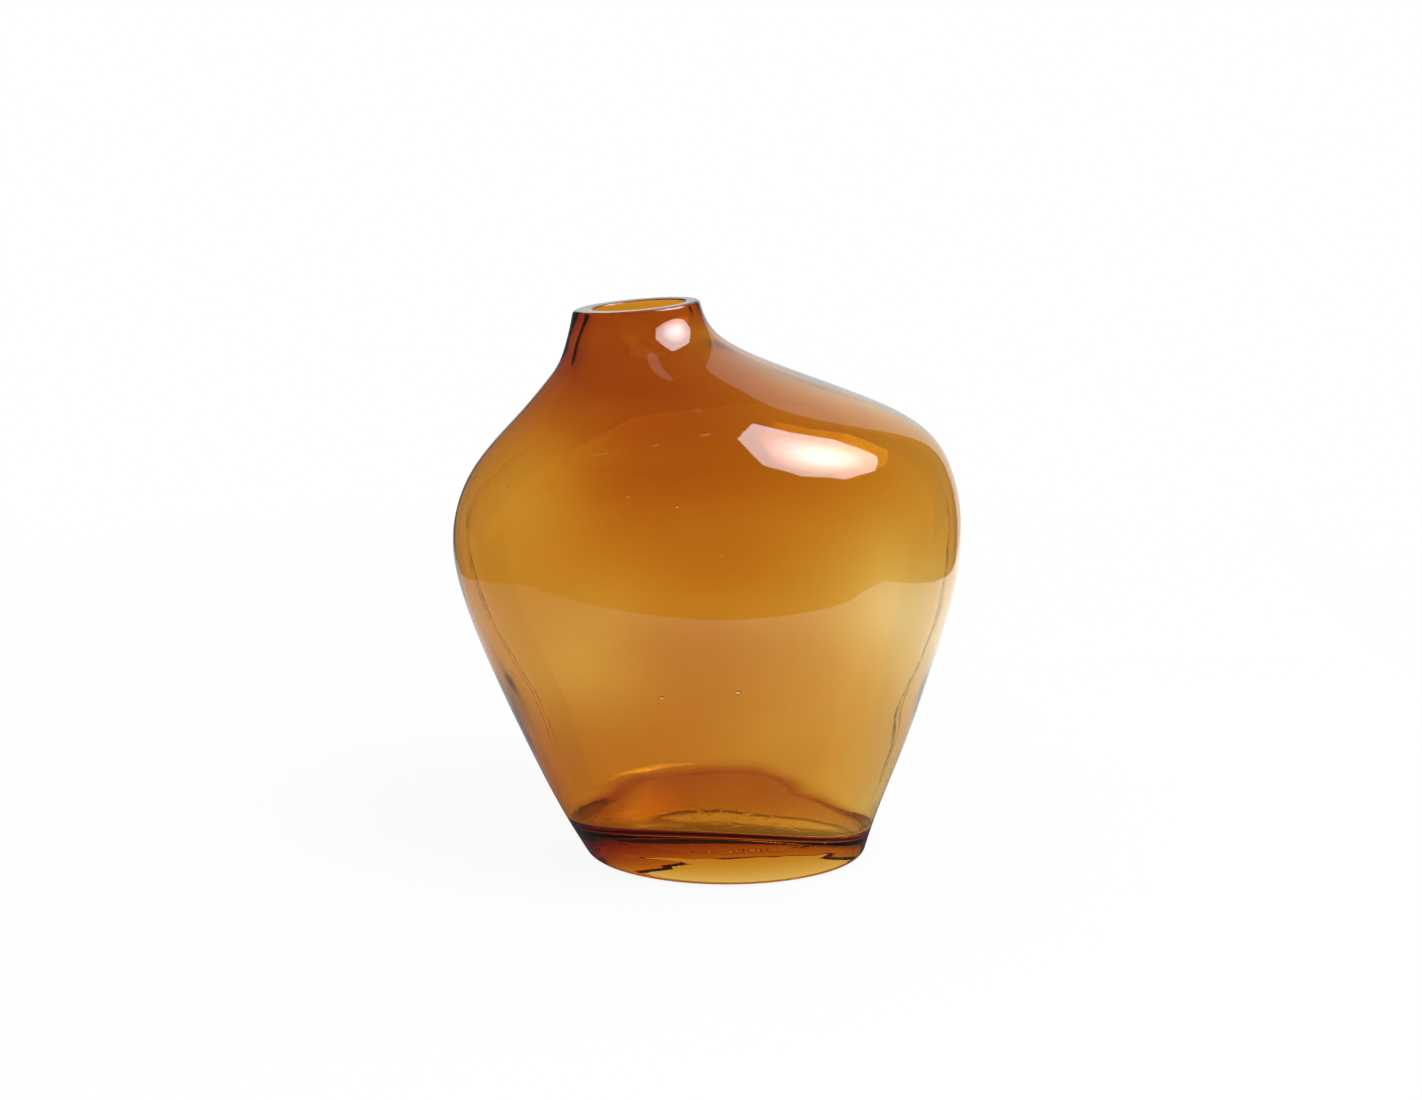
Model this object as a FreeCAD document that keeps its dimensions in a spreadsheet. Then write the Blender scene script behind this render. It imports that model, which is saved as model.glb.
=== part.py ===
# Amber glass vase, blown in a mould: one piece of glass with a neck that stands left of the middle.
# Millimetres, +Z up, -Y is the front. The origin is under the middle of the belly, on the table.
import FreeCAD, Part
import Sketcher
import os
from math import pi
from FreeCAD import Placement, Rotation, Vector
from typing import NamedTuple

# Sizes of the vase, one row of the sheet each
vase_sizes = {
    # Outside: heights of the widest section and of the middle of the rim
    "belly_level": 121.0,
    "mouth_level": 208.0,
    # Outside: widths left to right, depths front to back
    "belly_width": 188.6,
    "belly_depth": 151.0,
    "foot_width": 104.8,
    "foot_depth": 85.0,
    "mouth_width": 46.4,
    "mouth_depth": 36.8,
    # How far the foot stands to the right, and the mouth to the left, of the belly's middle
    "foot_offset": 7.2,
    "mouth_offset": 25.9,
    # How much the rim rises to the right, in degrees
    "mouth_tilt": 5.0,
    # Glass measured level, on the left, on the right, and alike at the front and back
    "mouth_wall_left": 7.4,
    "mouth_wall_right": 5.2,
    "mouth_wall_front": 5.6,
    "neck_wall_left": 8.6,
    "neck_wall_right": 2.6,
    "neck_wall_front": 6.6,
    "shoulder_wall_left": 4.6,
    "shoulder_wall_right": 2.3,
    "shoulder_wall_front": 5.4,
    "belly_wall_left": 3.8,
    "belly_wall_right": 2.2,
    "belly_wall_front": 4.7,
    "hip_wall_left": 4.0,
    "hip_wall_right": 2.0,
    "hip_wall_front": 3.5,
    "flank_wall_left": 5.2,
    "flank_wall_right": 2.6,
    "flank_wall_front": 5.3,
    "foot_wall_left": 5.6,
    "foot_wall_right": 6.0,
    "foot_wall_front": 6.0,
    # Glass under the inside, thicker on the left, and the round where the floor meets the wall
    "floor_left": 14.0,
    "floor_right": 7.0,
    "floor_round": 5.0,
    # Underside: the flat ring that it stands on, and the hollow inside the ring, which follows the floor
    "ring_land": 6.0,
    "base_glass": 4.2,
    "hollow_slope": 4.0,
    "heel_round": 3.8,
    # Rim: cut flat, with both edges rounded
    "rim_outer_round": 1.2,
    "rim_inner_round": 0.8,
    # How far the inside is cut past the rim
    "cut_overrun": 6.0,
}

# Sections from the foot up to the belly. The shares run from 0 at the foot to 1 at the belly: of the
# height, of the reach to the left and to the right, and of the depth. The last share says how far the
# glass has changed from the first named thickness to the second.
flank_shares = [
    ("flank_low", 0.116, 0.167, 0.121, 0.148, ("foot", "flank"), 0.4),
    ("flank_mid", 0.347, 0.448, 0.415, 0.439, ("foot", "flank"), 1.0),
    ("flank_high", 0.620, 0.743, 0.723, 0.739, ("flank", "hip"), 1.0),
    ("belly_low", 0.826, 0.926, 0.919, 0.925, ("hip", "belly"), 0.55),
]

# Sections from the belly up to the mouth, with shares that run from 0 at the belly to 1 at the mouth.
# The fifth number is the share of the rim's tilt. The last three widen the glass on the left, on the
# right and at the front, because a wall that lies flatter is wider when it is measured level.
shoulder_shares = [
    ("shoulder_low", 0.172, 0.055, 0.010, 0.043, 0.0, ("belly", "shoulder"), 0.4, (1.05, 1.0, 1.05)),
    ("shoulder_turn", 0.310, 0.181, 0.044, 0.125, 0.0, ("belly", "shoulder"), 0.8, (1.2, 1.0, 1.1)),
    ("shoulder_mid", 0.425, 0.352, 0.103, 0.214, 0.0, ("belly", "shoulder"), 1.0, (1.35, 1.4, 1.2)),
    ("shoulder_rise", 0.517, 0.515, 0.207, 0.322, 0.0, ("shoulder", "neck"), 0.1, (1.4, 2.0, 1.35)),
    ("shoulder_slope", 0.598, 0.654, 0.366, 0.440, 0.0, ("shoulder", "neck"), 0.2, (1.35, 2.5, 1.45)),
    ("shoulder_top", 0.678, 0.780, 0.556, 0.571, 0.0, ("shoulder", "neck"), 0.4, (1.3, 3.2, 1.45)),
    ("neck_root", 0.759, 0.876, 0.766, 0.698, 0.25, ("shoulder", "neck"), 0.7, (1.2, 3.6, 1.38)),
    ("neck", 0.874, 0.950, 0.945, 0.877, 0.65, ("shoulder", "neck"), 1.0, (1.1, 1.3, 1.2)),
]
plain_shares = (1.0, 1.0, 1.0)

# An edge that is picked for rounding may lie this far from where the sizes put it, as a share of its width
pick_share = 0.05


class Section(NamedTuple):
    """A level oval through the vase. The sizes are in words that the sheet works out."""
    name: str
    level: str
    left: str
    right: str
    depth: str
    tilt: str
    glass: tuple


def make_sheet(doc):
    sheet = doc.addObject("Spreadsheet::Sheet", "Sizes")
    for row, (name, value) in enumerate(vase_sizes.items(), start=1):
        sheet.set(f"A{row}", name)
        sheet.set(f"B{row}", str(value))
        sheet.setAlias(f"B{row}", name)
    doc.recompute()
    return sheet


def size(name):
    return f"Sizes.{name}"


def between(low, high, share):
    return f"({low} + ({high} - {low}) * {share})"


def reach(place, offset):
    """Left end, right end and depth of the foot, belly or mouth."""
    half = f"{size(place + '_width')} / 2"
    return f"({offset} - {half})", f"({offset} + {half})", size(f"{place}_depth")


def glass_at(walls, share, slant):
    """Level thickness of the glass on the left, on the right and at the front."""
    thickness = []
    for side, wider in zip(("left", "right", "front"), slant):
        low, high = (size(f"{wall}_wall_{side}") for wall in walls)
        thickness.append(f"{between(low, high, share)} * {wider}")
    return tuple(thickness)


def part_way(low, high, shares):
    return (between(a, b, share) for a, b, share in zip(low, high, shares))


def make_sections():
    """Every section of the outside from the foot to the mouth, with the glass there."""
    foot = reach("foot", size("foot_offset"))
    belly = reach("belly", "0")
    mouth = reach("mouth", f"-{size('mouth_offset')}")
    belly_level = size("belly_level")
    mouth_level = size("mouth_level")
    mouth_tilt = size("mouth_tilt")
    foot_glass = glass_at(("foot", "foot"), 0, plain_shares)
    belly_glass = glass_at(("belly", "belly"), 0, plain_shares)
    mouth_glass = glass_at(("mouth", "mouth"), 0, plain_shares)

    sections = [Section("foot", "0", *foot, "0", foot_glass)]
    for name, height, left, right, depth, walls, thinning in flank_shares:
        ends = part_way(foot, belly, (left, right, depth))
        glass = glass_at(walls, thinning, plain_shares)
        sections.append(Section(name, between("0", belly_level, height), *ends, "0", glass))
    sections.append(Section("belly", belly_level, *belly, "0", belly_glass))
    for name, height, left, right, depth, lean, walls, thinning, slant in shoulder_shares:
        ends = part_way(belly, mouth, (left, right, depth))
        glass = glass_at(walls, thinning, slant)
        level = between(belly_level, mouth_level, height)
        sections.append(Section(name, level, *ends, f"{mouth_tilt} * {lean}", glass))
    sections.append(Section("mouth", mouth_level, *mouth, mouth_tilt, mouth_glass))
    return sections


def ground_plane(body):
    return next(plane for plane in body.Origin.OriginFeatures if plane.Role == "XY_Plane")


def oval_curve(width, depth):
    """A closed oval that starts at its right end, so that a loft passes from wide ovals to deep ones."""
    middle = Vector(0, 0, 0)
    right_end = Vector(width / 2, 0, 0)
    left_end = Vector(-width / 2, 0, 0)
    back_end = Vector(0, depth / 2, 0)
    if width >= depth:
        return Part.Ellipse(right_end, back_end, middle)
    return Part.ArcOfEllipse(Part.Ellipse(back_end, left_end, middle), -pi / 2, 3 * pi / 2)


def add_oval(body, name, section):
    """Draw a section as an oval at its own height. A tilt raises its right end."""
    sketch = body.newObject("Sketcher::SketchObject", name)
    sketch.AttachmentSupport = [(ground_plane(body), "")]
    sketch.MapMode = "FlatFace"
    width_now = float(sketch.evalExpression(f"{section.right} - {section.left}"))
    depth_now = float(sketch.evalExpression(section.depth))
    oval = sketch.addGeometry(oval_curve(width_now, depth_now))
    sketch.exposeInternalGeometry(oval)
    long_axis = oval + 1
    short_axis = oval + 2
    wide = width_now >= depth_now
    width_axis, depth_axis = (long_axis, short_axis) if wide else (short_axis, long_axis)
    sketch.addConstraint(Sketcher.Constraint("Coincident", oval, 3, -1, 1))
    sketch.addConstraint(Sketcher.Constraint("Horizontal", width_axis))
    sketch.addConstraint(Sketcher.Constraint("Distance", width_axis, width_now))
    sketch.renameConstraint(sketch.ConstraintCount - 1, "width")
    sketch.addConstraint(Sketcher.Constraint("Distance", depth_axis, depth_now))
    sketch.renameConstraint(sketch.ConstraintCount - 1, "depth")
    sketch.setExpression("Constraints.width", f"{section.right} - {section.left}")
    sketch.setExpression("Constraints.depth", section.depth)
    # The turn needs a start that isn't zero, or the axis is lost
    sketch.AttachmentOffset = Placement(Vector(0, 0, 0), Rotation(Vector(0, 1, 0), -1))
    sketch.setExpression("AttachmentOffset.Rotation.Angle", f"-({section.tilt})")
    sketch.setExpression("AttachmentOffset.Base.x", f"({section.left} + {section.right}) / 2")
    sketch.setExpression("AttachmentOffset.Base.z", section.level)
    return sketch


def add_loft(body, kind, name, sections, ruled=False):
    """Pass a surface through ovals, to add glass or to take it away."""
    ovals = [add_oval(body, f"{name}_{section.name}", section) for section in sections]
    loft = body.newObject(f"PartDesign::{kind}Loft", name)
    loft.Profile = ovals[0]
    loft.Sections = ovals[1:]
    loft.Ruled = ruled
    body.Document.recompute()
    return loft


def inner(section):
    """The section less its glass."""
    left_glass, right_glass, front_glass = section.glass
    return section._replace(
        left=f"({section.left} + {left_glass})",
        right=f"({section.right} - {right_glass})",
        depth=f"{section.depth} - 2 * {front_glass}",
    )


def floor_slope(foot):
    """Level of the floor's middle, and the turn that lowers its right end."""
    left_floor, right_floor = size("floor_left"), size("floor_right")
    level = f"({left_floor} + {right_floor}) / 2"
    return level, f"-atan(({left_floor} - {right_floor}) / ({foot.right} - {foot.left}))"


def add_inside(body, sections):
    """The room inside: a floor that slopes down to the right, the walls, and a way out past the rim."""
    foot, _, *above = (inner(section) for section in sections)
    level, tilt = floor_slope(foot)
    floor = foot._replace(name="floor", level=level, tilt=tilt)
    way_out = above[-1]._replace(name="way_out", level=f"{above[-1].level} + {size('cut_overrun')}")
    return add_loft(body, "Subtractive", "inside", [floor, *above, way_out])


def add_hollow(body, foot):
    """The hollow underneath, inside the ring that the vase stands on, with even glass over it."""
    ring = f"({size('heel_round')} + {size('ring_land')})"
    slope = size("hollow_slope")
    edge = foot._replace(name="edge", glass=(ring, ring, ring))
    level, tilt = floor_slope(inner(foot))
    top_level = f"{level} - {size('base_glass')}"
    top = foot._replace(name="top", level=top_level, tilt=tilt, glass=(f"({ring} + {slope})",) * 3)
    return add_loft(body, "Subtractive", "hollow", [inner(edge), inner(top)], ruled=True)


def ring_edge(shape, level, width):
    """Name of the closed edge at a level that is as wide as the sizes say."""
    found = []
    for number, edge in enumerate(shape.Edges, start=1):
        if edge.isClosed():
            box = edge.BoundBox
            miss = abs((box.ZMin + box.ZMax) / 2 - level) + abs(box.XLength - width)
            found.append((miss, f"Edge{number}"))
    miss, name = min(found)
    if miss > width * pick_share:
        raise RuntimeError(f"no edge {width} wide at {level}")
    return name


def add_round(body, name, radius, level, width):
    base = body.Tip
    fillet = body.newObject("PartDesign::Fillet", name)
    fillet.Base = (base, [ring_edge(base.Shape, level, width)])
    fillet.setExpression("Radius", size(radius))
    body.Document.recompute()


def add_rounds(body, sheet):
    """Round the heel, the edge of the floor and both edges of the rim."""
    rim = sheet.get("mouth_level")
    rim_width = sheet.get("mouth_width")
    bore_width = rim_width - sheet.get("mouth_wall_left") - sheet.get("mouth_wall_right")
    foot_width = sheet.get("foot_width")
    floor = (sheet.get("floor_left") + sheet.get("floor_right")) / 2
    floor_width = foot_width - sheet.get("foot_wall_left") - sheet.get("foot_wall_right")
    add_round(body, "heel", "heel_round", 0, foot_width)
    add_round(body, "floor_edge", "floor_round", floor, floor_width)
    add_round(body, "rim_outer", "rim_outer_round", rim, rim_width)
    add_round(body, "rim_inner", "rim_inner_round", rim, bore_width)


def make_vase(doc, sheet):
    body = doc.addObject("PartDesign::Body", "Vase")
    body.Label = "glass_vase"
    sections = make_sections()
    add_loft(body, "Additive", "outside", sections)
    add_inside(body, sections)
    add_hollow(body, sections[0])
    add_rounds(body, sheet)
    return body


def check(doc, parts):
    """Stop before anything is written if a feature or a solid has failed."""
    doc.recompute()
    failed = [item.Label for item in doc.Objects if {"Invalid", "Error"} & set(item.State)]
    failed += [part.Label for part in parts if part.Shape.isNull() or not part.Shape.isValid()]
    if failed:
        raise RuntimeError(f"failed: {failed}")


doc = FreeCAD.newDocument("Vase")
parts = [make_vase(doc, make_sheet(doc))]
check(doc, parts)
os.makedirs("parts", exist_ok=True)
for part in parts:
    part.Shape.exportStep(f"parts/{part.Label}.step")
    box = part.Shape.optimalBoundingBox(False)
    print(f"{part.Label}: {box.XLength:.1f} x {box.YLength:.1f} x {box.ZLength:.1f} mm,",
          f"{part.Shape.Volume:.0f} cubic mm of glass")
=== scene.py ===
# Amber glass vase, blown in a mould. Metres, +Z up, -Y is the front, as in the CAD frame.
import math
import bpy
import numpy as np
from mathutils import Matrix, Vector, noise


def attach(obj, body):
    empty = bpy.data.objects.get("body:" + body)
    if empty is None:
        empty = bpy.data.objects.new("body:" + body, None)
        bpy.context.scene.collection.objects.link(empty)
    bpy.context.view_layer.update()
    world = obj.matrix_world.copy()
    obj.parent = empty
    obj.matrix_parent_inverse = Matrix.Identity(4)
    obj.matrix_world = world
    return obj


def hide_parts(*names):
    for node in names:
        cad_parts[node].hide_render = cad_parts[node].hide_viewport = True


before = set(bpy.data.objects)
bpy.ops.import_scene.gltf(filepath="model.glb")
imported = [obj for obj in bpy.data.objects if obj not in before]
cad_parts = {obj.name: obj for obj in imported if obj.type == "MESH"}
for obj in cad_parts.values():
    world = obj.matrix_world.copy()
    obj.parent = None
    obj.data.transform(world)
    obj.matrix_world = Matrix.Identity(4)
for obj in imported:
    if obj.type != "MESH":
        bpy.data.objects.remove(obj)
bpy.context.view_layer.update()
mm = 0.001
halvings = 40  # how often a search halves its range
# The sides of the vase have numbers: 0 is the left, 1 the right and 2 the front
frontSide = 2
outwards = (-1, 1, 1)  # which way is out on each side

# The vase's shape
vase = {
    # heights of the belly and of the middle of the rim
    "bellyLevel": 121.0 * mm,
    "mouthLevel": 208.0 * mm,
    # widths left to right, depths front to back
    "bellyWidth": 188.5 * mm,
    "bellyDepth": 150.8 * mm,
    "footWidth": 104.8 * mm,
    "footDepth": 85.0 * mm,
    "mouthWidth": 46.3 * mm,
    "mouthDepth": 36.7 * mm,
    "footOffset": 7.2 * mm,
    "mouthOffset": -25.9 * mm,
    "mouthTilt": math.radians(5.0),
    # underside
    "ringLand": 2.6 * mm,
    "hollowSlope": 0.6 * mm,
    "hollowRise": 13.4 * mm,
    # height of the hollow's edge and of the floor's edge inside: left, right, mean of front and back
    "hollowEdge": (12.4 * mm, 6.0 * mm, 17.9 * mm),
    "floorEdge": (13.6 * mm, 7.2 * mm, 19.1 * mm),
    "floorMiddle": 15.1 * mm,
    # how much higher than that mean both stand at the front, and the levels between which this goes
    "floorLean": 1.7 * mm,
    "leanFrom": 24.0 * mm,
    "leanTo": 46.0 * mm,
    # how far from its corner each round starts, and how far it is pulled towards the corner
    "heelRound": 2.2 * mm,
    "hollowRound": 0.6 * mm,
    "rimOuterRound": 1.4 * mm,
    "rimInnerRound": 1.0 * mm,
    "floorRound": 3.8 * mm,
    "roundPull": 0.6,
    # how fine the mesh is
    "around": 240,
    "heelSteps": 44,
    "wallSteps": 130,
    "landSteps": 6,
    "roundSteps": 8,
    "floorSteps": 26,
    # the part of the outside, from the foot up, that has the finer rings of the heel
    "heelShare": 0.1,
    # the part of the outside, from the foot up, that is searched for the level of the floor
    "floorSearch": 0.4,
}

# Shares from the foot (0) to the belly (1): height, reach left, reach right, depth
flankShares = [
    (0.116, 0.167, 0.121, 0.148),
    (0.347, 0.448, 0.415, 0.439),
    (0.620, 0.743, 0.723, 0.739),
    (0.826, 0.926, 0.919, 0.925),
]
# Shares from the belly (0) to the mouth (1): height, reach left, reach right, depth, tilt of the rim
shoulderShares = [
    (0.172, 0.055, 0.010, 0.043, 0.00),
    (0.310, 0.181, 0.044, 0.125, 0.00),
    (0.425, 0.352, 0.103, 0.214, 0.00),
    (0.517, 0.515, 0.207, 0.322, 0.00),
    (0.598, 0.654, 0.366, 0.440, 0.00),
    (0.678, 0.780, 0.556, 0.571, 0.00),
    (0.759, 0.876, 0.766, 0.698, 0.25),
    (0.874, 0.950, 0.945, 0.893, 0.65),
    (0.955, 0.985, 0.988, 0.982, 0.90),
]
# Glass measured level at each section from the foot to the mouth, in mm: left, right, front and back
glassWalls = [
    (3.0, 1.6, 3.4),
    (3.6, 1.5, 4.6),
    (3.6, 1.4, 4.5),
    (2.8, 1.4, 3.4),
    (2.5, 1.4, 3.5),
    (2.6, 1.9, 4.2),
    (3.0, 2.0, 4.9),
    (3.8, 2.1, 5.5),
    (4.6, 2.4, 6.3),
    (5.2, 3.2, 7.2),
    (5.6, 4.0, 8.0),
    (6.0, 5.2, 8.4),
    (6.4, 5.8, 8.2),
    (5.8, 3.8, 7.6),
    (6.8, 5.2, 7.0),
    (7.4, 5.2, 5.6),
]


def part(low, high, share):
    return low + (high - low) * share


def clamped(share):
    return min(1.0, max(0.0, share))


# 1 between two levels, going to 0 outside them
def fadeBetween(level, low, high, fade):
    return clamped((level - low) / fade) * clamped((high - level) / fade)


# The two ends of a narrow range in which a test stops being true
def whereItEnds(low, high, stillTrue):
    for _ in range(halvings):
        middle = (low + high) / 2
        if stillTrue(middle):
            low = middle
        else:
            high = middle
    return low, high


# Left, right and half depth of the foot, the belly or the mouth
def ovalOf(name, offset):
    half = vase[name + "Width"] / 2
    return [offset - half, offset + half, vase[name + "Depth"] / 2]


def between(first, second, shares):
    return [part(a, b, share) for a, b, share in zip(first, second, shares)]


# One row for each section: level, left, right, half depth, tilt
def makeSections():
    v = vase
    foot = ovalOf("foot", v["footOffset"])
    belly = ovalOf("belly", 0.0)
    mouth = ovalOf("mouth", v["mouthOffset"])
    rows = [(0.0, *foot, 0.0)]
    for height, *shares in flankShares:
        rows.append((v["bellyLevel"] * height, *between(foot, belly, shares), 0.0))
    rows.append((v["bellyLevel"], *belly, 0.0))
    for height, *shares, lean in shoulderShares:
        level = part(v["bellyLevel"], v["mouthLevel"], height)
        rows.append((level, *between(belly, mouth, shares), v["mouthTilt"] * lean))
    rows.append((v["mouthLevel"], *mouth, v["mouthTilt"]))
    return rows


# A natural cubic spline through the values
def smoothLine(knots, values):
    x = np.array(knots)
    y = np.array(values)
    h = np.diff(x)
    size = len(x)
    matrix = np.eye(size)
    right = np.zeros(size)
    for i in range(1, size - 1):
        matrix[i, i - 1:i + 2] = h[i - 1], 2 * (h[i - 1] + h[i]), h[i]
        right[i] = 6 * ((y[i + 1] - y[i]) / h[i] - (y[i] - y[i - 1]) / h[i - 1])
    bend = np.linalg.solve(matrix, right)

    def at(t):
        i = int(np.clip(np.searchsorted(x, t) - 1, 0, size - 2))
        a = (x[i + 1] - t) / h[i]
        b = (t - x[i]) / h[i]
        curve = ((a ** 3 - a) * bend[i] + (b ** 3 - b) * bend[i + 1]) * h[i] ** 2 / 6
        return a * y[i] + b * y[i + 1] + curve
    return at


# Upright lines on the left, the right and the front, that rings are drawn through. Each section gives
# one point to each line: (x, z) on the left and the right, (half depth, z) at the front
class Wall:
    def __init__(self, points):
        data = np.array(points)
        steps = np.linalg.norm(np.diff(data, axis=0), axis=2).mean(axis=1)
        knots = np.concatenate([[0.0], np.cumsum(steps)])
        knots /= knots[-1]
        self.lines = [[smoothLine(knots, data[:, side, axis]) for axis in (0, 1)] for side in range(3)]

    def at(self, side, t):
        across, up = self.lines[side]
        return Vector((across(t), up(t)))


def sectionPoints(level, left, right, half, tilt):
    middle = (left + right) / 2
    reach = (right - left) / 2
    return (
        (middle - reach * math.cos(tilt), level - reach * math.sin(tilt)),
        (middle + reach * math.cos(tilt), level + reach * math.sin(tilt)),
        (half, level),
    )


# The share of an upright line of the outside at which it reaches a level
def shareAtLevel(outer, side, level, highest):
    return whereItEnds(0.0, highest, lambda t: outer.at(side, t).y < level)[0]


# The room inside, from its floor to the mouth
def innerWall(rows, outer):
    points = []
    for (level, left, right, half, tilt), (atLeft, atRight, atFront) in zip(rows, glassWalls):
        inside = (left + atLeft * mm, right - atRight * mm, half - atFront * mm)
        points.append(sectionPoints(level, *inside, tilt))
    floor = []
    for side, (level, wall) in enumerate(zip(vase["floorEdge"], glassWalls[0])):
        outside = outer.at(side, shareAtLevel(outer, side, level, vase["floorSearch"])).x
        floor.append((outside - outwards[side] * wall * mm, level))
    # The floor takes the place of the two lowest sections
    return Wall([floor, *points[2:]])


def straight(start, end):
    return lambda t: start.lerp(end, t)


# From the middle to the edge, level at the middle
def bowl(middle, edge):
    return lambda t: Vector((part(middle.x, edge.x, t), part(middle.y, edge.y, t * t)))


# How far along a line to stop so that it ends a given distance from its corner
def cutBack(line, fromEnd, reach):
    corner = line(1.0) if fromEnd else line(0.0)

    def isNear(share):
        place = 1 - share if fromEnd else share
        return (line(place) - corner).length < reach
    share = whereItEnds(0.0, 1.0, isNear)[1]
    return 1 - share if fromEnd else share


# The points of a soft round between two places, without the places themselves
def roundPoints(start, corner, end):
    b = start.lerp(corner, vase["roundPull"])
    c = end.lerp(corner, vase["roundPull"])
    points = []
    for k in range(1, vase["roundSteps"]):
        t = k / vase["roundSteps"]
        u = 1 - t
        points.append(start * u ** 3 + b * 3 * u * u * t + c * 3 * u * t * t + end * t ** 3)
    return points


# One line of points through several lines. Each row is a line, its steps and the round after it
def joined(rows):
    starts = [0.0] * len(rows)
    ends = [1.0] * len(rows)
    for i, (line, _, reach) in enumerate(rows[:-1]):
        ends[i] = cutBack(line, True, reach)
        starts[i + 1] = cutBack(rows[i + 1][0], False, reach)
    points = []
    for i, (line, count, reach) in enumerate(rows):
        first = 1 if i and not rows[i - 1][2] else 0
        for k in range(first, count + 1):
            points.append(line(part(starts[i], ends[i], k / count)))
        if reach:
            points += roundPoints(line(ends[i]), line(1.0), rows[i + 1][0](starts[i + 1]))
    return points


# The whole outline on one side, from the middle of the underside to the middle of the floor inside
def sideLine(side, outer, inner):
    v = vase
    foot = outer.at(side, 0.0)
    ring = Vector((v["ringLand"] * outwards[side], 0))
    slope = Vector((v["hollowSlope"] * outwards[side], 0))
    ringInside = foot - ring
    hollowEdge = Vector(((ringInside - slope).x, v["hollowEdge"][side]))
    underMiddle = Vector((v["footOffset"] if side != frontSide else 0.0, v["hollowRise"]))
    top = outer.at(side, 1.0)
    bore = inner.at(side, 1.0)
    floorEdge = inner.at(side, 0.0)
    betweenEdges = (inner.at(0, 0.0).x + inner.at(1, 0.0).x) / 2
    floorMiddle = Vector((betweenEdges if side != frontSide else 0.0, v["floorMiddle"]))
    return joined([
        (bowl(underMiddle, hollowEdge), v["floorSteps"], v["hollowRound"]),
        (straight(hollowEdge, ringInside), v["landSteps"], v["hollowRound"]),
        (straight(ringInside, foot), v["landSteps"], v["heelRound"]),
        (lambda t: outer.at(side, t * v["heelShare"]), v["heelSteps"], 0.0),
        (lambda t: outer.at(side, part(v["heelShare"], 1.0, t)), v["wallSteps"], v["rimOuterRound"]),
        (straight(top, bore), v["landSteps"], v["rimInnerRound"]),
        (lambda t: inner.at(side, 1 - t), v["wallSteps"], v["floorRound"]),
        (lambda t: bowl(floorMiddle, floorEdge)(1 - t), v["floorSteps"], 0.0),
    ])


# The numbers of the rings where the underside ends, the heel starts and ends, and the inside starts
def ringNumbers():
    v = vase
    turn = v["roundSteps"]
    undersideTo = v["floorSteps"] + v["landSteps"] + turn
    heelFrom = undersideTo + turn + v["landSteps"]
    heelTo = heelFrom + turn + v["heelSteps"]
    insideFrom = heelTo + v["wallSteps"] + turn + v["landSteps"] + turn + 1
    return undersideTo, heelFrom, heelTo, insideFrom


# Two thin ridges left by the halves of the mould, one down each side
seams = {
    "from": 18.0 * mm,
    "to": 140.0 * mm,
    "fade": 25.0 * mm,
    "plane": 14.0 * mm,  # how far behind the middle they stand
    "steepest": math.radians(40.0),
    "height": 0.2 * mm,
    # in columns of points: the column that is a ridge, more columns beside it, and its half width
    "column": 8,
    "offsets": (-0.5, -0.25, -0.1, 0.1, 0.25, 0.5),
    "halfWidth": 0.3,
}


# The angle of every upright line of points round a ring, and how far it stands out for a mould seam
def seamColumns(half):
    s = seams
    count = vase["around"]
    step = 2 * math.pi / count
    rest = s["column"] * step
    turned = min(math.asin(s["plane"] / max(half, s["plane"])), s["steepest"])
    columns = []
    for k in range(count):
        onSeam = k in (s["column"], count // 2 - s["column"])
        extra = s["offsets"] if onSeam else ()
        for offset in sorted((0.0, *extra)):
            angle = (k + offset) * step
            if angle < rest:
                angle = angle * turned / rest
            elif angle < math.pi - rest:
                angle = part(turned, math.pi - turned, (angle - rest) / (math.pi - 2 * rest))
            elif angle < math.pi:
                angle = math.pi - (math.pi - angle) * turned / rest
            lift = s["height"] * max(0.0, 1 - abs(offset) / s["halfWidth"]) if onSeam else 0.0
            columns.append((angle, lift))
    return columns


# The wavy line that the mould left round the heel: the glass below it stands out a little
mouldLine = {
    "level": 11.6 * mm,
    "sideDrop": 4.4 * mm,
    "rise": 1.0 * mm,
    "stepOut": 0.26 * mm,
    # each wave: how many go round the heel, its height and its start
    "waves": ((9.0, 0.22 * mm, 0.4), (23.0, 0.2 * mm, 1.9), (37.0, 0.14 * mm, 0.7)),
    "fadeBelow": 7.0 * mm,
}


# How far the glass stands out at a place on the heel
def mouldStep(angle, level):
    m = mouldLine
    side = math.cos(angle) ** 2
    waves = sum(height * math.sin(count * angle + start) for count, height, start in m["waves"])
    below = clamped((m["level"] - m["sideDrop"] * side + waves - level) / m["rise"])
    return m["stepOut"] * below * (1 - side) ** 2 * clamped(level / m["fadeBelow"])


# How much a ring of the hollow or of the inside is raised at the front and lowered at the back
def leanOf(point, underside):
    v = vase
    edge = v["footDepth"] / 2 - v["ringLand"] - v["hollowSlope"]
    share = min(1.0, point.x / edge)
    if underside:
        share *= min(1.0, point.y / v["hollowEdge"][frontSide])
    else:
        share *= clamped((v["leanTo"] - point.y) / (v["leanTo"] - v["leanFrom"]))
    return v["floorLean"] * share


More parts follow.
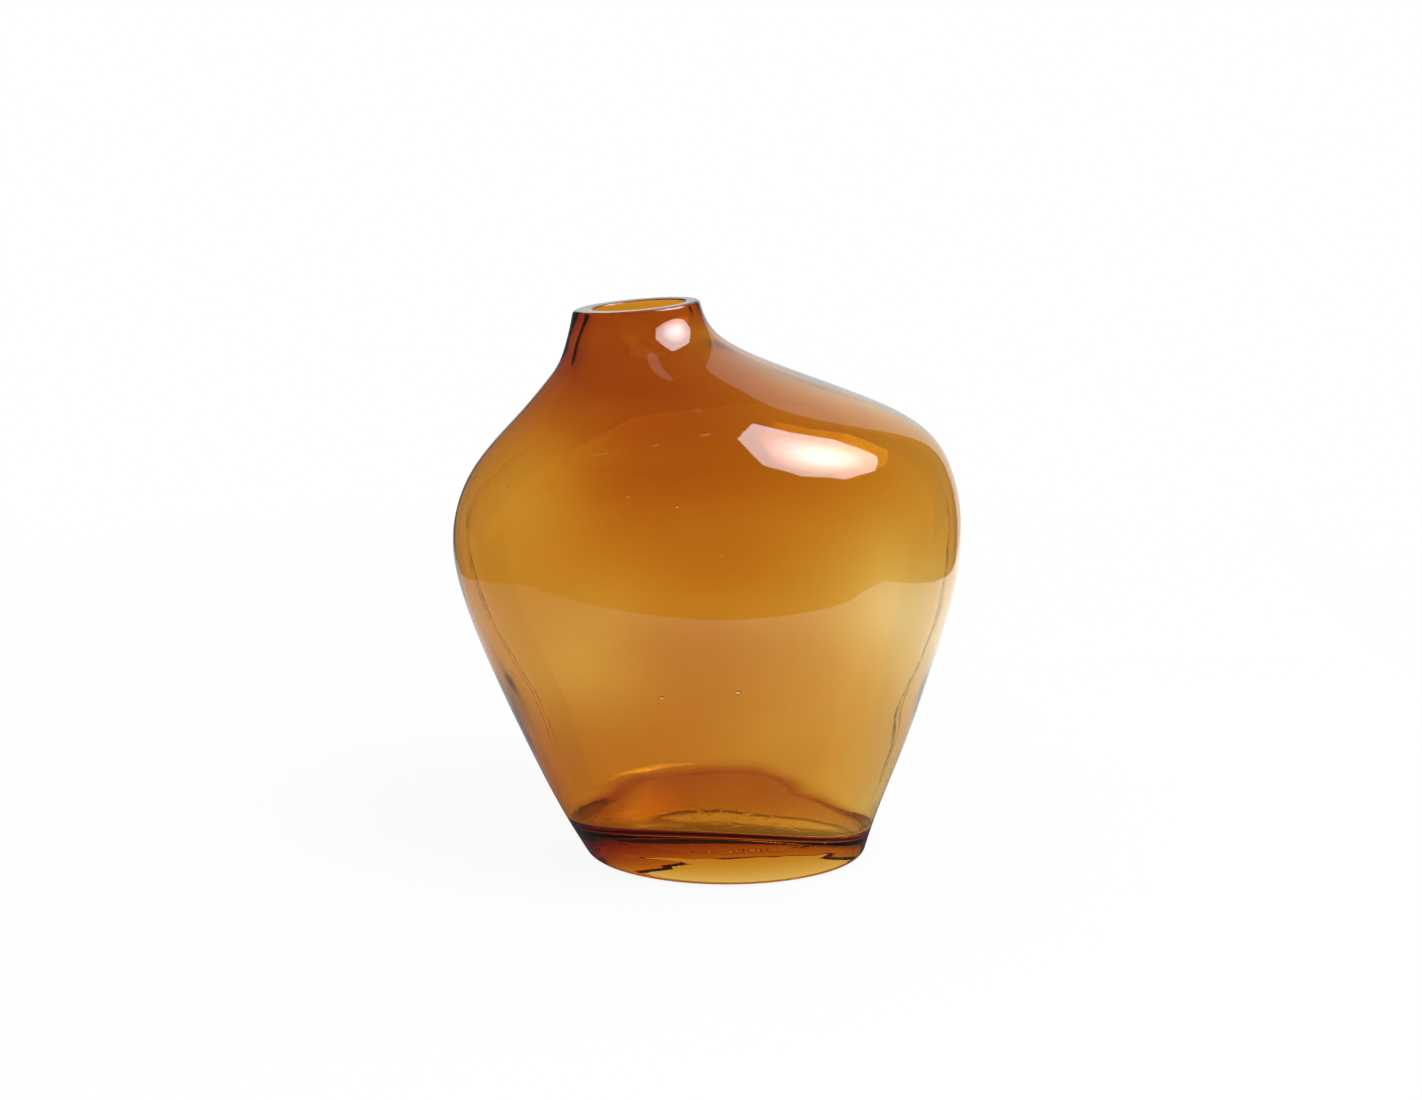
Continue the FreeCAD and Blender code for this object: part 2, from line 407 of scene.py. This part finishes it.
# The points of all rings, and one point at each end
def makePoints(outer, inner):
    left, right, front = (sideLine(side, outer, inner) for side in range(3))
    undersideTo, heelFrom, heelTo, insideFrom = ringNumbers()
    verts = [(left[0].x, 0.0, left[0].y)]
    for index, (a, b, c) in enumerate(zip(left[1:-1], right[1:-1], front[1:-1])):
        underside = index < undersideTo
        lean = leanOf(c, underside) if underside or index > insideFrom else 0.0
        middle = (a.x + b.x) / 2
        reach = (b.x - a.x) / 2
        rise = (b.y - a.y) / 2
        bow = (b.y + a.y) / 2 - c.y
        shown = fadeBetween(c.y, seams["from"], seams["to"], seams["fade"])
        for angle, ridge in seamColumns(c.x):
            cos = math.cos(angle)
            sin = math.sin(angle)
            z = c.y + rise * cos + bow * cos * cos - lean * sin
            lift = ridge * shown
            if heelFrom < index < heelTo:
                lift += mouldStep(angle, z)
            out = Vector((cos * c.x, sin * reach)).normalized() * lift
            verts.append((middle + reach * cos + out.x, c.x * sin + out.y, z))
    verts.append(((left[-1].x + right[-1].x) / 2, 0.0, left[-1].y))
    return verts


# Blown glass is uneven inside: soft waves all over, between two levels. Levels and depths are in mm
uneven = {
    "from": 24,
    "to": 195,
    "fade": 15,
    "wideScale": 30.0,
    "wideStretch": 1.3,  # how much finer the wide waves are from front to back
    "wideDepth": 0.36,
    "fineScale": 95.0,
    "fineDepth": 0.05,
    "frontShare": 1.5,  # how much more they push to the front and back than to the sides
}
# Where the glass is thinner (+) or thicker (-) than the walls say, in mm:
# across and up from the origin, reach across and up, glass taken off the front and off the back
thinPatches = [
    (-57.0, 152.0, 22.0, 20.0, 1.3),
    (-78.0, 128.0, 16.0, 22.0, 0.5),
    (-40.0, 84.0, 24.0, 17.0, 1.0),
    (60.0, 112.0, 26.0, 26.0, 0.9),
    (-14.0, 146.0, 30.0, 26.0, -0.6),
    (8.0, 36.0, 42.0, 14.0, -0.3),
    (66.0, 80.0, 18.0, 20.0, 0.4),
    (22.0, 74.0, 16.0, 14.0, 0.3),
    (2.0, 96.0, 30.0, 12.0, -0.5),
    (-4.0, 62.0, 24.0, 12.0, -0.35),
    (46.0, 148.0, 20.0, 10.0, -0.3),
]


# How far the inside is pushed outwards at a place
def unevenness(x, y, z):
    u = uneven
    off = 0.0
    for across, up, reachAcross, reachUp, amount in thinPatches:
        far = ((x / mm - across) / reachAcross) ** 2 + ((z / mm - up) / reachUp) ** 2
        off += amount * math.exp(-far)
    wide = noise.noise(Vector((x, y * u["wideStretch"], z)) * u["wideScale"]) * u["wideDepth"]
    fine = noise.noise(Vector((x, y, z)) * u["fineScale"]) * u["fineDepth"]
    calm = fadeBetween(z / mm, u["from"], u["to"], u["fade"])
    return (off + (wide + fine)) * calm * mm


def shapeInside(verts):
    around = len(seamColumns(vase["bellyDepth"]))
    insideFrom = ringNumbers()[-1]
    shaped = []
    for index, (x, y, z) in enumerate(verts):
        ring = (index - 1) // around
        if ring > insideFrom and z > uneven["from"] * mm:
            push = unevenness(x, y, z)
            away = Vector((x, y * uneven["frontShare"], 0)).normalized()
            x += away.x * push
            y += away.y * push
        shaped.append((x, y, z))
    return shaped


# Faces over rings of points that start at base, closed by a point at each end
def ringFaces(base, columns, rings, firstEnd, lastEnd):
    top = base + (rings - 1) * columns
    faces = []
    for k in range(columns):
        after = (k + 1) % columns
        faces.append((firstEnd, base + after, base + k))
        for low in range(base, top, columns):
            high = low + columns
            faces.append((low + k, low + after, high + after, high + k))
        faces.append((top + k, top + after, lastEnd))
    return faces


# Small bubbles in the front wall, in mm: across, up, half width, half height, and the turn in degrees
seeds = [
    (-27.2, 149.3, 0.42, 0.45, 0.0),
    (-10.0, 146.7, 0.45, 0.38, 0.0),
    (-70.2, 148.2, 0.55, 0.60, 0.0),
    (10.8, 80.7, 1.12, 0.80, 0.0),
    (-15.8, 78.4, 0.83, 0.64, 10.0),
    (-26.8, 126.3, 0.45, 0.35, 0.0),
    (-40.0, 110.0, 0.33, 0.35, 0.0),
    (27.0, 73.0, 0.40, 0.40, 0.0),
    (-46.0, 58.0, 0.45, 0.32, 30.0),
    (30.0, 30.0, 0.38, 0.40, 0.0),
    (5.0, 131.0, 0.30, 0.32, 0.0),
    (-2.0, 95.0, 0.30, 0.26, 0.0),
    (50.0, 83.0, 0.33, 0.26, 0.0),
    (-60.0, 125.0, 0.36, 0.29, 0.0),
    (31.0, 105.0, 0.27, 0.29, 0.0),
    (14.0, 56.0, 0.30, 0.32, 0.0),
    (-41.2, 161.2, 1.50, 0.24, 8.0),
    (-38.0, 161.9, 1.60, 0.22, 7.0),
    (-34.5, 162.6, 1.50, 0.20, 6.0),
    (-30.9, 163.3, 1.00, 0.20, 6.0),
    (-17.7, 165.8, 1.40, 0.22, 12.0),
    (-0.4, 169.4, 2.00, 0.22, 10.0),
]
seedShape = {
    "depth": 0.9 * mm,  # from the outside to the middle of a bubble
    "flatness": 0.5,
    "follow": 0.5,  # how much a bubble turns with the wall
    "columns": 12,
    "levels": 6,
}


# How far back the middle of a bubble is, and its share of the way from the vase's middle to its edge
def seedPlace(outer, x, z):
    level = shareAtLevel(outer, frontSide, z, 1.0)
    left, right = (outer.at(side, level).x for side in (0, 1))
    share = (x - (left + right) / 2) / ((right - left) / 2)
    y = -outer.at(frontSide, level).x * math.sqrt(max(0.0, 1 - share * share)) + seedShape["depth"]
    return y, share


# The rings of a bubble, from its right end to its left end, and then its two ends
def seedPoints(x, y, z, share, halfWide, halfHigh, turn):
    s = seedShape
    cos = math.cos(math.radians(turn))
    sin = math.sin(math.radians(turn))
    flat = s["flatness"] * min(halfWide, halfHigh)
    points = []
    for i in range(1, s["levels"]):
        polar = math.pi * i / s["levels"]
        for k in range(s["columns"]):
            angle = 2 * math.pi * k / s["columns"]
            along = halfWide * math.cos(polar)
            upright = halfHigh * math.sin(polar) * math.cos(angle)
            back = flat * math.sin(polar) * math.sin(angle)
            right = along * cos - upright * sin
            up = along * sin + upright * cos
            points.append((x + right * mm, y + back * mm - right * mm * share * s["follow"], z + up * mm))
    for tip in (halfWide * mm, -halfWide * mm):
        points.append((x + tip * cos, y - tip * share * s["follow"], z + tip * sin))
    return points


# Bubbles as small hollow shells that face inwards
def addSeeds(verts, faces, outer):
    columns = seedShape["columns"]
    rings = seedShape["levels"] - 1
    for across, up, halfWide, halfHigh, turn in seeds:
        x = across * mm
        z = up * mm
        y, share = seedPlace(outer, x, z)
        base = len(verts)
        verts += seedPoints(x, y, z, share, halfWide, halfHigh, turn)
        faces += ringFaces(base, columns, rings, len(verts) - 2, len(verts) - 1)


def makeGlassMesh():
    rows = makeSections()
    outer = Wall([sectionPoints(*row) for row in rows])
    inner = innerWall(rows, outer)
    print("walls made")
    verts = shapeInside(makePoints(outer, inner))
    around = len(seamColumns(vase["bellyDepth"]))
    rings = (len(verts) - 2) // around
    faces = ringFaces(1, around, rings, 0, len(verts) - 1)
    print("rings made")
    addSeeds(verts, faces, outer)
    print("bubbles made")
    mesh = bpy.data.meshes.new("glassVase")
    mesh.from_pydata(verts, [], faces)
    mesh.validate()
    mesh.shade_smooth()
    piece = bpy.data.objects.new("glassVase", mesh)
    bpy.context.scene.collection.objects.link(piece)
    return piece


# Give a socket a plain value, or link it to another socket
def feed(tree, socket, value):
    if isinstance(value, bpy.types.NodeSocket):
        tree.links.new(value, socket)
    else:
        socket.default_value = value


def addNode(tree, kind, **settings):
    node = tree.nodes.new(kind)
    for name, value in settings.items():
        setattr(node, name, value)
    return node


def doMath(tree, operation, *values):
    node = addNode(tree, "ShaderNodeMath", operation=operation)
    for socket, value in zip(node.inputs, values):
        feed(tree, socket, value)
    return node.outputs[0]


# Turn a value that goes between the first two ends into one that goes between the last two
def mapRange(tree, value, ends, curve="LINEAR"):
    node = addNode(tree, "ShaderNodeMapRange", interpolation_type=curve)
    feed(tree, node.inputs["Value"], value)
    for name, end in zip(("From Min", "From Max", "To Min", "To Max"), ends):
        feed(tree, node.inputs[name], end)
    return node.outputs["Result"]


# How far the shaded place is from a point
def distanceFrom(tree, point):
    place = addNode(tree, "ShaderNodeNewGeometry")
    away = addNode(tree, "ShaderNodeVectorMath", operation="DISTANCE")
    feed(tree, away.inputs[0], place.outputs["Position"])
    feed(tree, away.inputs[1], point)
    return away.outputs["Value"]


def newMaterial(name):
    material = bpy.data.materials.new(name)
    material.use_nodes = True
    return material


# Skin of blown glass. Levels are in metres, and the four heights in shares of the amber's markDepth
skin = {
    "Ripple": 0.12,
    "Grain": 0.008,
    "Line Level": 0.0115,
    "Line Step": 0.1,
    "Ring Top": 0.003,
    "Ring Stipple": 0.05,
    "Polish": 0.0,
    "Scuffed": 0.02,
}
skinPatterns = {
    "ripple": {"Scale": 55.0, "Detail": 1.0},
    "grain": {"Scale": 900.0, "Detail": 2.0},
    "wobble": {"Scale": 130.0, "Detail": 3.0},
    "scuff": {"Scale": 24.0, "Detail": 6.0, "Roughness": 0.7},
    "stipple": {"Scale": 900.0},
    "wobbleHeight": 5.0 * mm,
    "lineRise": 0.6 * mm,
    "scuffFrom": 0.45,
    "scuffTo": 0.75,
}


# A soft ripple, fine grain, the mould line round the heel, a rough foot ring and scuffs
def makeMouldMarks():
    group = bpy.data.node_groups.new("mouldMarks", "ShaderNodeTree")
    for name, value in skin.items():
        socket = group.interface.new_socket(name=name, in_out="INPUT", socket_type="NodeSocketFloat")
        socket.default_value = value
    for name in ("Height", "Roughness"):
        group.interface.new_socket(name=name, in_out="OUTPUT", socket_type="NodeSocketFloat")
    given = addNode(group, "NodeGroupInput").outputs
    put = addNode(group, "NodeGroupOutput").inputs
    place = addNode(group, "ShaderNodeTexCoord").outputs["Object"]
    patterns = skinPatterns

    def pattern(name, kind, output):
        node = addNode(group, kind)
        feed(group, node.inputs["Vector"], place)
        for setting, value in patterns[name].items():
            node.inputs[setting].default_value = value
        return node.outputs[output]

    split = addNode(group, "ShaderNodeSeparateXYZ")
    feed(group, split.inputs["Vector"], place)
    level = split.outputs["Z"]
    wobble = pattern("wobble", "ShaderNodeTexNoise", "Fac")
    lineLevel = doMath(group, "MULTIPLY_ADD", wobble, patterns["wobbleHeight"], given["Line Level"])
    aboveLine = doMath(group, "SUBTRACT", level, lineLevel)
    step = mapRange(group, aboveLine, (0.0, patterns["lineRise"], 0.0, 1.0))
    nearTable = mapRange(group, level, (0.0, given["Ring Top"], 1.0, 0.0))
    dots = doMath(group, "MULTIPLY", pattern("stipple", "ShaderNodeTexVoronoi", "Distance"), nearTable)
    ripple = doMath(group, "MULTIPLY", pattern("ripple", "ShaderNodeTexNoise", "Fac"), given["Ripple"])
    grain = doMath(group, "MULTIPLY", pattern("grain", "ShaderNodeTexNoise", "Fac"), given["Grain"])
    line = doMath(group, "MULTIPLY", step, given["Line Step"])
    ring = doMath(group, "MULTIPLY", dots, given["Ring Stipple"])
    allOver = doMath(group, "ADD", ripple, grain)
    atFoot = doMath(group, "ADD", line, ring)
    feed(group, put["Height"], doMath(group, "ADD", allOver, atFoot))
    scuff = pattern("scuff", "ShaderNodeTexNoise", "Fac")
    ends = (patterns["scuffFrom"], patterns["scuffTo"], given["Polish"], given["Scuffed"])
    feed(group, put["Roughness"], mapRange(group, scuff, ends))
    return group


# The glass itself
amber = {
    "absorbed": (0.884, 0.691, 0.085),
    "density": 700.0,
    "ior": 1.5,
    "markDepth": 0.5 * mm,
    # painted shade: the colour the glass is darkened to at its outline
    "paintedEdgeShade": (0.30, 0.22, 0.15),
    "edgeFrom": 0.80,
    "edgeTo": 1.0,
    "edgeBlend": 0.5,
}


# Painted shade: the glass's colour is darkened at its outline, where light leaves it at a low angle
def paintedOutlineShade(tree):
    facing = addNode(tree, "ShaderNodeLayerWeight")
    facing.inputs["Blend"].default_value = amber["edgeBlend"]
    ends = (amber["edgeFrom"], amber["edgeTo"], 0.0, 1.0)
    edge = mapRange(tree, facing.outputs["Facing"], ends, "SMOOTHSTEP")
    shadedColour = addNode(tree, "ShaderNodeMix", data_type="RGBA")
    # Sockets 6 and 7 of a colour mix are its two colours, and its third output is the mixed one
    feed(tree, shadedColour.inputs[0], edge)
    feed(tree, shadedColour.inputs[6], (1, 1, 1, 1))
    feed(tree, shadedColour.inputs[7], (*amber["paintedEdgeShade"], 1))
    return shadedColour.outputs[2]


def makeAmberGlass():
    material = newMaterial("amberGlass")
    tree = material.node_tree
    tree.nodes.clear()
    out = addNode(tree, "ShaderNodeOutputMaterial")
    glass = addNode(tree, "ShaderNodeBsdfPrincipled")
    glass.inputs["Transmission Weight"].default_value = 1.0
    glass.inputs["Metallic"].default_value = 0.0
    glass.inputs["IOR"].default_value = amber["ior"]
    glass.inputs["Base Color"].default_value = (1, 1, 1, 1)
    # the glass's colour carries painted shade at its outline
    feed(tree, glass.inputs["Base Color"], paintedOutlineShade(tree))
    marks = addNode(tree, "ShaderNodeGroup", node_tree=makeMouldMarks())
    feed(tree, glass.inputs["Roughness"], marks.outputs["Roughness"])
    bump = addNode(tree, "ShaderNodeBump")
    bump.inputs["Strength"].default_value = 1.0
    bump.inputs["Distance"].default_value = amber["markDepth"]
    feed(tree, bump.inputs["Height"], marks.outputs["Height"])
    feed(tree, glass.inputs["Normal"], bump.outputs["Normal"])
    inside = addNode(tree, "ShaderNodeVolumeAbsorption")
    inside.inputs["Color"].default_value = (*amber["absorbed"], 1)
    inside.inputs["Density"].default_value = amber["density"]
    feed(tree, out.inputs["Surface"], glass.outputs["BSDF"])
    feed(tree, out.inputs["Volume"], inside.outputs["Volume"])
    return material


# The studio stands round this point
aim = Vector((0.0, 0.0, 0.16))


# A plain glowing material, and the socket of its strength
def lightSurface(name, colour, strength=1.0):
    material = newMaterial(name)
    tree = material.node_tree
    tree.nodes.clear()
    out = addNode(tree, "ShaderNodeOutputMaterial")
    glow = addNode(tree, "ShaderNodeEmission")
    glow.inputs["Color"].default_value = (*colour, 1)
    glow.inputs["Strength"].default_value = strength
    feed(tree, out.inputs["Surface"], glow.outputs["Emission"])
    return material, glow.inputs["Strength"]


def stageCard(name, verts, faces, material):
    mesh = bpy.data.meshes.new(name)
    mesh.from_pydata([tuple(v) for v in verts], [], faces)
    mesh.materials.append(material)
    card = bpy.data.objects.new(name, mesh)
    bpy.context.scene.collection.objects.link(card)
    return card


def onlyReflected(card):
    card.visible_camera = False
    card.visible_diffuse = False
    card.visible_transmission = False
    card.visible_shadow = False
    card.visible_volume_scatter = False
    card.visible_glossy = True


# Azimuth 0 is the front, and 90 is the right
def direction(azimuth, elevation):
    a = math.radians(azimuth)
    e = math.radians(elevation)
    return Vector((math.sin(a) * math.cos(e), -math.cos(a) * math.cos(e), math.sin(e)))


floorLook = {
    "size": 30.0,
    "gap": 0.2 * mm,
    "colour": (0.9, 0.9, 0.9),
    "roughness": 0.9,
    # the distances between which the share of plain white goes from the first to the second
    "shadowReach": (0.12, 0.75),
    "whiteShare": (0.92, 1.0),
}


# Near the vase the floor keeps its shadow, and further out it turns to plain white
def makePaleFloor():
    material = newMaterial("paleFloor")
    tree = material.node_tree
    surface = tree.nodes["Principled BSDF"]
    surface.inputs["Base Color"].default_value = (*floorLook["colour"], 1)
    surface.inputs["Roughness"].default_value = floorLook["roughness"]
    glow = addNode(tree, "ShaderNodeEmission")
    path = addNode(tree, "ShaderNodeLightPath").outputs
    seen = doMath(tree, "MAXIMUM", path["Is Camera Ray"], path["Is Transmission Ray"])
    ends = (*floorLook["shadowReach"], *floorLook["whiteShare"])
    white = mapRange(tree, distanceFrom(tree, (0, 0, 0)), ends, "SMOOTHSTEP")
    mix = addNode(tree, "ShaderNodeMixShader")
    feed(tree, mix.inputs["Fac"], doMath(tree, "MULTIPLY", seen, white))
    feed(tree, mix.inputs[1], surface.outputs["BSDF"])
    feed(tree, mix.inputs[2], glow.outputs["Emission"])
    feed(tree, tree.nodes["Material Output"].inputs["Surface"], mix.outputs["Shader"])
    return material


def makeFloor():
    half = floorLook["size"] / 2
    corners = ((-half, -half), (half, -half), (half, half), (-half, half))
    verts = [(x, y, -floorLook["gap"]) for x, y in corners]
    floor = stageCard("floor", verts, [(0, 1, 2, 3)], makePaleFloor())
    floor.visible_glossy = False


table = {
    # two changes of brightness, from left to right and with the distance from the vase's middle:
    # between which two places, and from and to which brightness
    "across": (-0.3, 0.3, 0.45, 1.4),
    # painted shadow: the table glows dimmer near the vase, in place of the vase's shadow on it
    "outwards": (0.07, 0.25, 0.1, 1.15),
    "level": 0.5 * mm,
    "backCorners": ((0.3, 1.5), (-0.3, 1.5)),
}
# The bright table ends in front of the vase and at its sides. Its edge, seen from above, in metres
tableEdge = [
    (-0.282, 0.276), (-0.351, 0.105), (-0.380, -0.007), (-0.391, -0.099),
    (-0.375, -0.155), (-0.330, -0.161), (-0.289, -0.199), (-0.232, -0.216),
    (-0.186, -0.231), (-0.110, -0.246), (-0.043, -0.254), (0.019, -0.252),
    (0.084, -0.248), (0.154, -0.233), (0.216, -0.214), (0.266, -0.195),
    (0.330, -0.198), (0.396, -0.183), (0.443, -0.157), (0.413, -0.078),
    (0.390, 0.023), (0.371, 0.116), (0.340, 0.231), (0.328, 0.284),
]


def makeTable():
    material, strength = lightSurface("tableGlow", (1, 1, 1))
    tree = material.node_tree
    place = addNode(tree, "ShaderNodeNewGeometry")
    split = addNode(tree, "ShaderNodeSeparateXYZ")
    feed(tree, split.inputs[0], place.outputs["Position"])
    across = mapRange(tree, split.outputs["X"], table["across"])
    # the glow dims towards the vase as a painted shadow
    paintedShadowShare = mapRange(tree, distanceFrom(tree, (0, 0, 0)), table["outwards"])
    feed(tree, strength, doMath(tree, "MULTIPLY", paintedShadowShare, across))
    verts = [(x, y, table["level"]) for x, y in (*tableEdge, *table["backCorners"])]
    onlyReflected(stageCard("tableCard", verts, [tuple(range(len(verts)))], material))


# Curved cards round the vase: two azimuths, two elevations, radius and light
room = {
    "roomCard": ((-165, 145), (-80, 86), 3.0, 0.12),
    "flagLeft": ((-132, -100), (-4, 70), 2.9, 0.06),
    "flagRight": ((102, 128), (-4, 70), 2.9, 0.06),
}
roomColumns = 40
roomLevels = 16


def curvedCard(name, azimuths, elevations, radius, light):
    material, _ = lightSurface(name, (1, 1, 1), light)
    verts = []
    faces = []
    for i in range(roomLevels + 1):
        elevation = part(*elevations, i / roomLevels)
        for k in range(roomColumns + 1):
            azimuth = part(*azimuths, k / roomColumns)
            verts.append(aim + direction(azimuth, elevation) * radius)
    for i in range(roomLevels):
        for k in range(roomColumns):
            a = i * (roomColumns + 1) + k
            b = a + roomColumns + 1
            faces.append((a, a + 1, b + 1, b))
    card = stageCard(name, verts, faces, material)
    onlyReflected(card)
    return card


# The unlit room in front, which only reflections see, and two dark flags that glass shows at its edges
def makeRoom():
    for name, values in room.items():
        card = curvedCard(name, *values)
        if name != "roomCard":
            card.visible_glossy = False
            card.visible_transmission = True


softbox = {
    "colour": (0.94, 0.96, 1.0),
    # where it stands, seen from the aim, and how wide it looks from there
    "azimuth": 71.5,
    "elevation": 55.5,
    "distance": 1.0,
    "radius": math.radians(23.6),
    "sides": 8,
    # how bright it is inside the first share of its radius and outside the second
    "light": (24.0, 8.5),
    "fade": (0.05, 0.75),
}


def makeSoftbox():
    s = softbox
    towards = direction(s["azimuth"], s["elevation"])
    centre = aim + towards * s["distance"]
    reach = math.tan(s["radius"]) * s["distance"]
    side = towards.cross(Vector((0, 0, 1))).normalized()
    up = side.cross(towards)
    verts = []
    for k in range(s["sides"]):
        angle = math.radians(360 / s["sides"] * (k + 0.5))
        verts.append(centre + side * math.cos(angle) * reach + up * math.sin(angle) * reach)
    material, strength = lightSurface("softboxGlow", s["colour"])
    tree = material.node_tree
    ends = (*(reach * share for share in s["fade"]), *s["light"])
    feed(tree, strength, mapRange(tree, distanceFrom(tree, centre), ends))
    card = stageCard("softboxCard", verts, [tuple(range(s["sides"]))], material)
    onlyReflected(card)
    card.visible_transmission = True


# How bright the world is for light that falls on things, and where it is seen
worldLight = (0.6, 1.0)


def makeWorld():
    world = bpy.data.worlds.new("studio")
    bpy.context.scene.world = world
    world.use_nodes = True
    tree = world.node_tree
    back = tree.nodes["Background"]
    path = addNode(tree, "ShaderNodeLightPath").outputs
    seen = doMath(tree, "MAXIMUM", path["Is Camera Ray"], path["Is Glossy Ray"])
    seen = doMath(tree, "MAXIMUM", seen, path["Is Transmission Ray"])
    feed(tree, back.inputs["Strength"], mapRange(tree, seen, (0.0, 1.0, *worldLight)))
    back.inputs["Color"].default_value = (1, 1, 1, 1)


keyLamp = {
    "azimuth": 50,
    "elevation": 55,
    "distance": 1.6,
    "size": 0.9,
    "power": 18.0,
}


def makeLamp():
    light = bpy.data.lights.new("keyLamp", "AREA")
    light.shape = "DISK"
    light.size = keyLamp["size"]
    light.energy = keyLamp["power"]
    lamp = bpy.data.objects.new("keyLamp", light)
    bpy.context.scene.collection.objects.link(lamp)
    away = direction(keyLamp["azimuth"], keyLamp["elevation"])
    lamp.location = aim + away * keyLamp["distance"]
    lamp.rotation_mode = "QUATERNION"
    lamp.rotation_quaternion = away.to_track_quat("Z", "Y")
    lamp.visible_camera = False
    lamp.visible_glossy = False
    lamp.visible_transmission = False


view = {
    "lens": 64.82,
    "sensor": 36.0,
    "place": (1.37 * mm, -928.0 * mm, 328.1 * mm),
    "lookDown": 12.85,
    "farthest": 100,
}


def makeCamera():
    camera = bpy.data.cameras.new("camera")
    camera.lens = view["lens"]
    camera.sensor_width = view["sensor"]
    camera.sensor_fit = "HORIZONTAL"
    camera.clip_end = view["farthest"]
    holder = bpy.data.objects.new("camera", camera)
    bpy.context.scene.collection.objects.link(holder)
    holder.location = view["place"]
    holder.rotation_euler = (math.radians(90 - view["lookDown"]), 0, 0)
    bpy.context.scene.camera = holder


glassVase = makeGlassMesh()
glassVase.data.materials.append(makeAmberGlass())
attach(glassVase, "root")
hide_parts("glass_vase")
print("glass made")

makeFloor()
makeTable()
print("floor and table made")
makeRoom()
makeSoftbox()
print("room and softbox made")
makeWorld()
makeLamp()
makeCamera()
bpy.context.scene.view_settings.view_transform = "Standard"
print("studio made")
